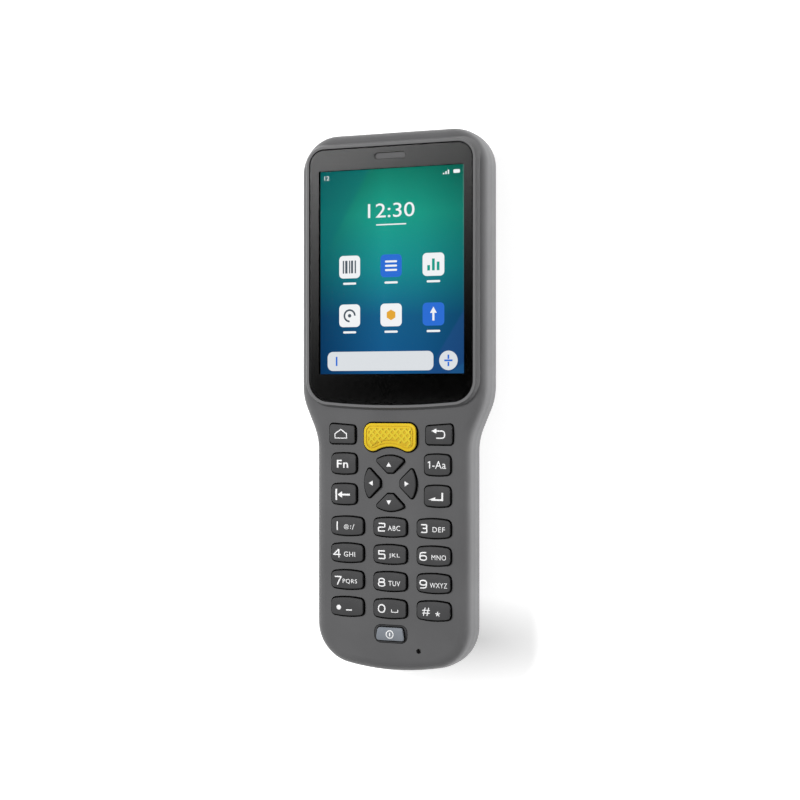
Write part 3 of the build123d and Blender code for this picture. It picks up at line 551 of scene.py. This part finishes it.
metals = {
    # cast chassis: pale and dull
    "dieCastMagnesium": {"colour": "#b4b5b7", "rough": 0.5, "grain": 0.4},
    # shield cans and microphone, of tinned sheet: bright, with a soft gloss
    "pressedTin": {"colour": "#c9c9c6", "rough": 0.3, "grain": 0.3},
    # screws, domes, socket, motor and strap bar: a cooler and darker grey
    "turnedSteel": {"colour": "#a9abad", "rough": 0.28, "grain": 0.2},
    # battery contacts: warm and glossy
    "goldPlate": {"colour": "#e0b85c", "rough": 0.22, "grain": 0.2},
}
glasses = {
    # toughened cover glass: a low IOR stands for its anti-glare coating, and the coat lies over the border
    "coverGlass": {"colour": "#ffffff", "weight": 1.0, "ior": 1.06, "patch": 9, "smooth": 0.01, "rough": 0.04,
                   "coatIor": 1.62, "coatRough": 0.1, "clear": ((0, 36.5, 20), (21.6, 28.8, 4))},
    # dark red filter in front of the scan engine
    "redFilter": {"colour": "#5a0c12", "weight": 0.6, "ior": 1.5, "patch": 9, "smooth": 0.01, "rough": 0.04},
}
borderInk = {"colour": "#060606", "patch": 4, "smooth": 0.7, "rough": 0.85}
gauze = {"pitch": 0.35, "pale": "#6c6c6d", "dark": "#555556", "rough": 0.55}

finish = {name: mouldedPlastic(name, recipe) for name, recipe in plastics.items()}
finish.update({name: bareMetal(name, recipe) for name, recipe in metals.items()})
finish.update({name: polishedGlass(name, recipe) for name, recipe in glasses.items()})
finish["glassPrint"] = screenPrint("glassPrint", borderInk)
finish["wovenMesh"] = wovenGauze("wovenMesh", gauze)

finishOfSlot = {
    "casing_grey": "mouldedCasing", "seal_black": "mouldedRubber", "glass": "coverGlass",
    "tape_black": "mouldedRubber", "display": "mouldedComponent", "mesh_grey": "wovenMesh",
    "component_black": "mouldedComponent", "magnesium": "dieCastMagnesium", "circuit_board": "solderMask",
    "tin_plate": "pressedTin", "steel": "turnedSteel", "silicone": "mouldedSilicone",
    "battery_shell": "mouldedComponent", "contact_gold": "goldPlate", "window_red": "redFilter",
    "key_grey": "mouldedKeys", "key_yellow": "mouldedYellow", "key_blue_grey": "mouldedBlueGrey",
}


def dressNodes():
    # each CAD node takes the finish of its slot in the record
    slotOf = {part["node"]: part["material_slot"] for part in frame["record"]["subparts"]}
    for name, node in nodes.items():
        material = finish[finishOfSlot[slotOf[name]]]
        node.data.materials.clear()
        node.data.materials.append(material)


dressNodes()
print("nodes dressed:", len(nodes), "nodes in", len(finish), "finishes")


# the rubber ring of the power key

ringLine = {"margin": 0.2, "sunk": 0.02, "proud": 0.04}


def makeRingLine():
    # thin paler line along the middle of the ring's top
    bm = facesOf("power_ring", lambda face: face.normal.z > 0.9)
    bmesh.ops.dissolve_limit(bm, angle_limit=0.01, verts=bm.verts[:], edges=bm.edges[:])
    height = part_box("power_ring")[1].z / mm
    edge = bmesh.ops.inset_region(bm, faces=bm.faces[:], thickness=ringLine["margin"], use_boundary=True,
                                  use_even_offset=True)
    bmesh.ops.delete(bm, geom=edge["faces"], context="FACES")
    bmesh.ops.translate(bm, vec=(0, 0, -height), verts=bm.verts)
    thicken(bm, height - ringLine["sunk"], height + ringLine["proud"])
    meshObject("power_ring_line", bm, finish["mouldedRubberLine"], "casing")


makeRingLine()
print("power ring lined")


# the key caps and what is printed on them, in millimetres

caps = {
    "top": 20.7, "crown": 0.4, "skirt": 0.92, "powerHalf": 1.85,  # the bowed tops
    "ink": 0.012, "sunk": 0.02, "shift": 0.35, "cuts": 8,  # how the ink lies on them
    "stroke": 0.36, "line": 0.37, "digit": 2.5, "letter": 1.4, "letterFoot": 0.35, "drop": (0, 0.12, 0.25),
}
flat = (-caps["sunk"], caps["ink"])  # how far ink reaches below and above the top of a cap
padPrint = {"thin": "#f2f3f4", "full": "#ffffff", "patch": 0.5, "rough": 0.4}
keyBoxes = {name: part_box(name) for name in nodes if name.startswith("key_")}


def ink(name, recipe):
    # pad-printed legend: satin white, a little thin in places
    material, tree, shader = newMaterial(name, {"Roughness": recipe["rough"]})
    place = addNode(tree, "ShaderNodeTexCoord")
    cover = addNode(tree, "ShaderNodeTexNoise", inputs={"Scale": 1 / (recipe["patch"] * mm), "Detail": 2.0},
                    links={"Vector": place.outputs["Object"]})
    tint = addNode(tree, "ShaderNodeValToRGB", links={"Fac": cover.outputs["Fac"]})
    setRamp(tint, [(0.25, recipe["thin"]), (0.6, recipe["full"])])
    tree.links.new(tint.outputs["Color"], shader.inputs["Base Color"])
    return material


whiteInk = ink("padPrintWhite", padPrint)


def keyMiddle(node):
    # middle of a key along the casing, and half its reach there without the hidden skirt
    low, high = keyBoxes[node]
    return (low.y + high.y) / 2 / mm, (high.y - low.y) / 2 / mm - caps["skirt"]


def crownHeight(node, y):
    # height of the bowed cap above the floor at y
    middle, half = keyMiddle(node)
    if node == "key_power":
        half = caps["powerHalf"]
    radius = (half**2 + caps["crown"] ** 2) / (2 * caps["crown"])
    away = min(abs(y - middle), half)
    return caps["top"] - radius + math.sqrt(radius**2 - away**2)


def layOnCrown(node, bm):
    # lifts flat marks onto the bowed top of a key
    for vertex in bm.verts:
        vertex.co.z += crownHeight(node, vertex.co.y)


def printOnKey(node, parts):
    # prints flat marks on a key, moved right by one shift and cut into strips so that they follow its bow
    bm = merged(parts)
    bmesh.ops.translate(bm, vec=(caps["shift"], 0, 0), verts=bm.verts)
    middle, half = keyMiddle(node)
    for step in range(-caps["cuts"], caps["cuts"] + 1):
        cut(bm, (0, middle + step * half / caps["cuts"], 0), (0, 1, 0))
    layOnCrown(node, bm)
    meshObject("legend_" + node[4:], bm, whiteInk, node)


digitLines = {
    # each digit in a box from 0 to 1: lines of control points, and whether a line is closed
    "1": [([(0.5, -0.08), (0.5, 1.08)], False)],
    "2": [([(0.03, 1), (0.5, 1), (1, 1), (1, 0.76), (1, 0.52), (0.5, 0.52), (0, 0.5), (0, 0.26), (0, 0),
            (0.05, 0), (1, 0)], False)],
    "3": [([(0.03, 1), (0.5, 1), (0.97, 1), (0.97, 0.77), (0.97, 0.53), (0.6, 0.53), (0.3, 0.53)], False),
          ([(0.3, 0.51), (0.6, 0.51), (1, 0.51), (1, 0.25), (1, 0), (0.5, 0), (0, 0)], False)],
    "4": [([(0.72, 1), (0.70, 0.98), (0.03, 0.31), (0.02, 0.3), (0.04, 0.3), (1, 0.3)], False),
          ([(0.76, 1.0), (0.76, -0.08)], False)],
    "5": [([(1, 1), (0.06, 1), (0.05, 1), (0.05, 0.98), (0.05, 0.6), (0.06, 0.58), (0.75, 0.58), (1, 0.58),
            (1, 0.3), (1, 0), (0.75, 0), (0, 0)], False)],
    "6": [([(0.95, 1), (0.3, 1), (0, 0.85), (0, 0.3)], False),
          ([(0, 0), (1, 0), (1, 0.6), (0, 0.6)], True)],
    "7": [([(0, 1), (0.96, 1), (0.98, 1), (0.97, 0.97), (0.36, -0.08)], False)],
    "8": [([(0, 0), (1, 0), (1, 0.55), (0, 0.55)], True),
          ([(0.08, 0.51), (0.92, 0.51), (0.92, 1), (0.08, 1)], True)],
    "9": [([(0.05, 0), (0.7, 0), (1, 0.15), (1, 0.7)], False),
          ([(0, 0.4), (1, 0.4), (1, 1), (0, 1)], True)],
    "0": [([(0, 0), (1, 0), (1, 1), (0, 1)], True)],
}
numberKeys = {
    # the digit and the letters of a key, each with its left and right edge before the shift
    "key_1": (("1", -16.75, -15.85), ("@", -14.25, -12.75)),
    "key_2": (("2", -3.9, -1.6), ("ABC", -0.85, 2.8)),
    "key_3": (("3", 8.8, 10.9), ("DEF", 12.4, 16.0)),
    "key_4": (("4", -17.6, -15.1), ("GHI", -14.2, -10.8)),
    "key_5": (("5", -3.9, -1.6), ("JKL", -0.6, 2.7)),
    "key_6": (("6", 8.5, 10.8), ("MNO", 12.1, 16.35)),
    "key_7": (("7", -17.2, -14.9), ("PQRS", -14.6, -10.2)),
    "key_8": (("8", -3.9, -1.6), ("TUV", -0.7, 2.8)),
    "key_9": (("9", 8.5, 10.8), ("WXYZ", 11.6, 16.65)),
}


def plottedDigit(digit, left, right, middle):
    # the lines of a digit, fitted between two edges measured to their outer sides
    width = caps["line"]
    across, up = right - left - width, caps["digit"] - width
    foot = middle - caps["digit"] / 2
    return [marking([(left + width / 2 + x * across, foot + width / 2 + y * up) for x, y in points],
                    width, *flat, closed) for points, closed in digitLines[digit]]


def numberLegends():
    # the three rows of digits with letters, then the row of the dot, nought and hash
    small = caps["letter"]
    for node, ((digit, left, right), (letters, start, end)) in numberKeys.items():
        middle = keyMiddle(node)[0] - caps["drop"][(int(digit) - 1) // 3]
        foot = middle - caps["digit"] / 2 + caps["letterFoot"]
        marks = plottedDigit(digit, left, right, middle)
        marks.append(lettering(letters, start, end, foot, foot + small, *flat, spread=1.1))
        if digit == "1":
            # colon and slash
            marks += [disc(-12.2, foot + up, 0.16, *flat, sides=12) for up in (0.3, 0.95)]
            marks.append(stroke((-11.65, foot + 0.05), (-11.15, foot + small - 0.05), 0.17, *flat))
        printOnKey(node, marks)
    space = marking([(0.2, -58.25), (0.2, -58.95), (2.1, -58.95), (2.1, -58.25)], 0.3, *flat, rounded=False)
    printOnKey("key_0", plottedDigit("0", -3.9, -1.6, keyMiddle("key_0")[0]) + [space])
    printOnKey("key_dot", [
        disc(-15.8, -58.35, 0.675, *flat),
        stroke((-13.5, -59.0), (-11.9, -59.0), 0.32, *flat),
    ])
    x, y = 13.9, -58.85
    arms = [math.radians(90 + 72 * turn) for turn in range(5)]
    star = [stroke((x, y), (x + 0.58 * math.cos(arm), y + 0.58 * math.sin(arm)), 0.26, *flat) for arm in arms]
    printOnKey("key_hash", [lettering("#", 9.35, 11.6, -59.45, -57.2, *flat), *star])


def signLegends():
    # house, arrows and words of the side columns, then the direction ring and the power key
    line = caps["stroke"]
    house = [(-16.97, -9.2), (-15.2, -8.0), (-13.43, -9.2), (-13.43, -10.45), (-16.97, -10.45)]
    printOnKey("key_home", [marking(house, line, *flat, closed=True, rounded=False)])
    printOnKey("key_back", [
        wedge([(12.1, -8.22), (13.5, -7.5), (13.5, -8.94)], *flat),
        marking([(13.4, -8.22), (14.2, -8.22), (15.95, -8.22), (15.95, -10.2), (14.2, -10.2), (13.5, -10.2)],
                line, *flat),
    ])
    printOnKey("key_function", [
        lettering("Fn", -16.4, -12.95, -18.85, -16.6, *flat, weight=0.015, spread=1.1),
    ])
    printOnKey("key_shift", [
        lettering("-Aa", 12.3, 16.3, -18.65, -16.55, *flat, spread=1.05),
        stroke((11.55, -18.5), (11.55, -16.7), 0.3, *flat),
        stroke((11.1, -17.0), (11.5, -16.72), 0.26, *flat),
    ])
    printOnKey("key_delete", [
        tile(-16.6, -26.42, 0.48, 3.2, 0, *flat),
        wedge([(-16.2, -26.42), (-14.8, -25.5), (-14.8, -27.35)], *flat),
        tile(-13.65, -26.42, 2.5, 0.48, 0, *flat),
    ])
    printOnKey("key_enter", [
        tile(15.25, -26.4, 0.5, 2.3, 0, *flat),
        tile(13.75, -27.3, 3.5, 0.45, 0, *flat),
        wedge([(11.1, -27.3), (13.2, -26.55), (13.2, -27.3)], *flat),
    ])
    triangles = {"key_up": (-0.62, -17.9, 0), "key_left": (-5.85, -23.0, 90),
                 "key_down": (-0.62, -28.15, 180), "key_right": (4.55, -23.0, 270)}
    for node, (x, y, turn) in triangles.items():
        printOnKey(node, [disc(x, y, 0.82, *flat, sides=3, turn=math.radians(turn))])
    printOnKey("key_power", [
        band(-0.35, -65.25, 1.05, 0.26, 0, 2 * math.pi, *flat),
        stroke((-0.35, -65.6), (-0.35, -64.9), 0.34, *flat),
    ])


numberLegends()
signLegends()
print("legends printed")


# the lattice of the scan key and the painted shade in its grooves and between its ribs, in millimetres

lattice = {
    # the ribs: distance of their knots across and up, their width and height, and how many are laid out
    "pitch": 1.8, "rise": 0.95, "rib": 0.5, "height": 0.11, "rows": 3, "columns": 8,
    # the field: its edges from the middle of the key, the hollow in its foot, and the share of a bar's
    # distance to the side that has to lie inside, so that bars run on to the edge where they are clipped
    "half": 6.35, "head": 2.5, "foot": -2.4, "hollow": 1.4, "hollowHalf": 4.2, "reach": 0.8,
}
# height of the veil over the cap, then how far under the bow and how near its end a face with painted shade
# may lie
shades = {"veil": 0.01, "grooveDepth": (0.08, 0.2), "grooveEnd": 0.6, "fieldDepth": 0.05}
scanMiddle, scanHalf = keyMiddle("key_scan")
scanCentre = sum(corner.x for corner in keyBoxes["key_scan"]) / 2 / mm


def inField(x, y):
    # inside the raised outline, whose lower edge rises in a hollow at the middle of the key
    foot = lattice["foot"] + lattice["hollow"] * max(0, 1 - (x / lattice["hollowHalf"]) ** 2)
    return abs(x) < lattice["half"] and foot < y - scanMiddle < lattice["head"]


def makeLattice():
    # thin crossed ribs moulded on the key: short bars from knot to knot, then clipped to the field
    across, up, half = lattice["pitch"] / 2, lattice["rise"], lattice["half"]
    length = math.hypot(across, up) + lattice["rib"] / 2
    bars = []
    for row in range(-lattice["rows"], lattice["rows"]):
        y = scanMiddle + (row + 0.5) * up
        for column in range(-lattice["columns"], lattice["columns"] + 1):
            for side in (-1, 1):
                x = column * across + side * across / 2
                if (row + column) % 2 and inField(lattice["reach"] * x, y):
                    place = spot(scanCentre + x, y + up / 2, math.atan2(up, side * across))
                    bars.append(rectangle(place, length, lattice["rib"]))
    bm = merged(bars)
    cut(bm, (scanCentre - half, 0, 0), (-1, 0, 0), clear=True)
    cut(bm, (scanCentre + half, 0, 0), (1, 0, 0), clear=True)
    cut(bm, (0, scanMiddle + lattice["head"], 0), (0, 1, 0), clear=True)
    thicken(bm, -caps["sunk"], lattice["height"])
    layOnCrown("key_scan", bm)
    meshObject("scan_key_lattice", bm, finish["mouldedYellowHighlight"], "key_scan")


def inShade(face):
    # an upward face on the floor of a groove, or in the field between the ribs
    point = face.calc_center_median()
    under = crownHeight("key_scan", point.y) - point.z
    least, most = shades["grooveDepth"]
    inGroove = least < under < most and abs(point.y - scanMiddle) < scanHalf - shades["grooveEnd"]
    between = under < shades["fieldDepth"] and inField(point.x - scanCentre, point.y)
    return face.normal.z > 0.9 and (inGroove or between)


def makeShades():
    # a thin veil of painted shade, in a deeper yellow, over those faces
    bm = facesOf("key_scan", inShade)
    bmesh.ops.translate(bm, vec=(0, 0, shades["veil"]), verts=bm.verts)
    meshObject("scan_key_shades", bm, finish["mouldedYellowShade"], "key_scan")


makeLattice()
makeShades()
print("scan key finished")


# what the display shows, in millimetres

screen = {
    "half": 21.6, "foot": 7.7, "head": 65.3, "level": 19.42, "step": 0.04, "print": 0.02, "pixel": 0.18,
    "columns": (-12.6, 0, 12.6), "rows": (38.0, 24.2), "button": 6.4, "corner": 1.2, "bar": 11.3,
    "roundKey": 17.0,
    "sky": [(0.0, "#15548a"), (0.28, "#195f8a"), (0.52, "#1c8f92"), (0.78, "#1fa08a"), (1.0, "#127a66")],
    "sides": [(0.0, "#a9a9b4"), (0.45, "#ffffff"), (0.7, "#f0f0f0"), (1.0, "#c4c4c8")],
    # direction of the far side in degrees, place of the edge, tint and how much of it
    "facets": [(-58, 2.0, "#1c6f96", 0.35), (-32, 4.5, "#2b4c8c", 0.35), (150, 38.0, "#0d6a70", 0.5)],
    "facetEdge": 0.8,
    "colours": {"White": "#f4f6f8", "Blue": "#2f6fd6", "Ash": "#4a5560", "Teal": "#1c9c8a",
                "Amber": "#e6a93a", "Pale": "#dee2e6"},
}
litPanel = {"Base Color": (0, 0, 0, 1), "Roughness": 0.5, "Emission Strength": 1.0, "Specular IOR Level": 0.0}


def litArea(name, colour):
    # a lit area of the panel, a touch darker between the rows of pixels
    material, tree, shader = newMaterial(name, litPanel)
    place = addNode(tree, "ShaderNodeTexCoord")
    rows = addNode(tree, "ShaderNodeTexWave", {"wave_type": "BANDS", "bands_direction": "Y"},
                   {"Scale": 2 * math.pi / 20 / (screen["pixel"] * mm)}, {"Vector": place.outputs["Object"]})
    dim = addNode(tree, "ShaderNodeMapRange", inputs={"To Min": 0.0, "To Max": 0.05},
                  links={"Value": rows.outputs["Fac"]})
    tint = addNode(tree, "ShaderNodeMix", {"data_type": "RGBA"}, {6: linear(colour), 7: (0, 0, 0, 1)},
                   {0: dim.outputs["Result"]})
    tree.links.new(tint.outputs[2], shader.inputs["Emission Color"])
    return material


def wallpaper():
    # teal above, blue below, a little darker to the sides, with a few broad slanting facets
    material, tree, shader = newMaterial("panelWallpaper", litPanel)
    place = addNode(tree, "ShaderNodeTexCoord")
    parts = addNode(tree, "ShaderNodeSeparateXYZ", links={0: place.outputs["Object"]})
    upward = addNode(tree, "ShaderNodeMapRange",
                     inputs={"From Min": screen["foot"] * mm, "From Max": screen["head"] * mm},
                     links={"Value": parts.outputs["Y"]})
    sky = addNode(tree, "ShaderNodeValToRGB", links={"Fac": upward.outputs["Result"]})
    setRamp(sky, screen["sky"])
    across = addNode(tree, "ShaderNodeMapRange",
                     inputs={"From Min": -screen["half"] * mm, "From Max": screen["half"] * mm},
                     links={"Value": parts.outputs["X"]})
    sides = addNode(tree, "ShaderNodeValToRGB", links={"Fac": across.outputs["Result"]})
    setRamp(sides, screen["sides"])
    colour = addNode(tree, "ShaderNodeMix", {"data_type": "RGBA", "blend_type": "MULTIPLY"}, {0: 1.0},
                     {6: sky.outputs["Color"], 7: sides.outputs["Color"]})
    for lean, edge, tint, amount in screen["facets"]:
        # everything on the far side of a slanting edge takes some of another tint
        angle = math.radians(lean)
        slope = addNode(tree, "ShaderNodeVectorMath", {"operation": "DOT_PRODUCT"},
                        {1: (math.cos(angle), math.sin(angle), 0)}, {0: place.outputs["Object"]})
        facet = addNode(tree, "ShaderNodeMapRange", {"interpolation_type": "SMOOTHSTEP"},
                        {"From Min": edge * mm, "From Max": (edge + screen["facetEdge"]) * mm,
                         "To Min": 0.0, "To Max": amount}, {"Value": slope.outputs["Value"]})
        colour = addNode(tree, "ShaderNodeMix", {"data_type": "RGBA"}, {7: linear(tint)},
                         {0: facet.outputs["Result"], 6: colour.outputs[2]})
    tree.links.new(colour.outputs[2], shader.inputs["Emission Color"])
    return material


def layer(number):
    # heights of one picture layer above the panel
    low = screen["level"] + number * screen["step"]
    return low, low + screen["step"] / 2


def show(name, parts, material):
    # one colour of one layer of the picture
    meshObject("screen_" + name, merged(parts), material, "casing")


def makeScreen():
    # a plain picture of its own: a clock, two rows of three buttons and a bar with a round key
    half, foot, head = screen["half"], screen["foot"], screen["head"]
    left, centre, right = screen["columns"]
    upper, lower = screen["rows"]
    button, corner, bar, key = screen["button"], screen["corner"], screen["bar"], screen["roundKey"]
    low, high = layer(1), layer(2)
    lit = {name: litArea("panel" + name, colour) for name, colour in screen["colours"].items()}
    show("wallpaper", [tile(0, (foot + head) / 2, 2 * half, head - foot, 0, *layer(0))], wallpaper())

    whites = ((left, upper), (right, upper), (centre, lower), (left, lower))
    blues = ((centre, upper), (right, lower))
    show("buttons_white", [tile(x, y, button, button, corner, *low) for x, y in whites], lit["White"])
    show("buttons_blue", [tile(x, y, button, button, corner, *low) for x, y in blues], lit["Blue"])

    # a sign on each button: bars, a gauge, lines, an arrow, a chart and a hexagon
    bars = [tile(left + x, upper, width, 3.6, 0, *high)
            for x, width in ((-1.9, 0.4), (-1.0, 0.7), (0.0, 0.35), (0.75, 0.6), (1.75, 0.4))]
    gauge = [band(left, lower, 1.6, 0.5, 0, 1.5 * math.pi, *high), disc(left, lower, 0.5, *high)]
    show("marks_ash", bars + gauge, lit["Ash"])
    lines = [tile(centre, upper + y, 3.6, 0.55, 0.25, *high) for y in (-1.2, 0, 1.2)]
    arrow = [tile(right, lower - 0.7, 0.6, 2.2, 0, *high), disc(right, lower + 0.9, 1.15, *high, sides=3)]
    show("marks_white", lines + arrow, lit["White"])
    chart = [tile(right + x, upper - 1.7 + tall / 2, 0.8, tall, 0, *high)
             for x, tall in ((-1.4, 1.5), (0, 3.3), (1.4, 2.4))]
    show("marks_teal", chart, lit["Teal"])
    show("marks_amber", [disc(centre, lower, 1.5, *high, sides=6)], lit["Amber"])

    # the clock with its line, the status row and a plain dash for each button's name
    clock = [lettering("12:30", -7.0, 7.0, 51.6, 55.6, *low), tile(0, 49.6, 9.0, 0.35, 0, *low)]
    status = [lettering("12", -20.4, -18.9, 62.9, 64.1, *low), tile(19.4, 63.5, 1.9, 1.0, 0.25, *low)]
    status += [tile(15.6 + 0.7 * step, 63.0 + 0.2 * step, 0.4, 0.4 + 0.4 * step, 0, *low)
               for step in range(3)]
    dashes = [tile(x, y - 4.7, 4.0, 0.6, 0.3, *low) for x in screen["columns"] for y in screen["rows"]]
    show("writing", clock + status + dashes, lit["White"])

    # the bar at the foot with a line and a cross
    show("bar", [tile(-3.4, bar, 32.0, 5.4, 1.6, *low), disc(key, bar, 2.7, *low)], lit["Pale"])
    show("bar_marks", [
        tile(-16.6, bar, 0.5, 2.6, 0, *high), tile(key, bar, 2.4, 0.5, 0, *high),
        tile(key, bar + 1.0, 0.5, 1.2, 0, *high), tile(key, bar - 1.0, 0.5, 1.2, 0, *high),
    ], lit["Blue"])


def makePrint():
    # the black border fired onto the underside of the glass, open over the picture and the earpiece
    half, foot, head = screen["half"], screen["foot"], screen["head"]
    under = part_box("cover_glass")[0].z / mm
    bm = facesOf("cover_glass", lambda face: all(abs(v.co.z - under) < 0.01 for v in face.verts))
    for x in (-half, half):
        cut(bm, (x, 0, 0), (1, 0, 0))
    for y in (foot, head):
        cut(bm, (0, y, 0), (0, 1, 0))
    picture = [face for face in bm.faces if abs(face.calc_center_median().x) < half
               and foot < face.calc_center_median().y < head]
    bmesh.ops.delete(bm, geom=picture, context="FACES")
    bmesh.ops.translate(bm, vec=(0, 0, -under), verts=bm.verts)
    thicken(bm, under + screen["print"], under + 2 * screen["print"])
    meshObject("glass_print", bm, finish["glassPrint"], "casing")


makeScreen()
makePrint()
print("screen drawn")
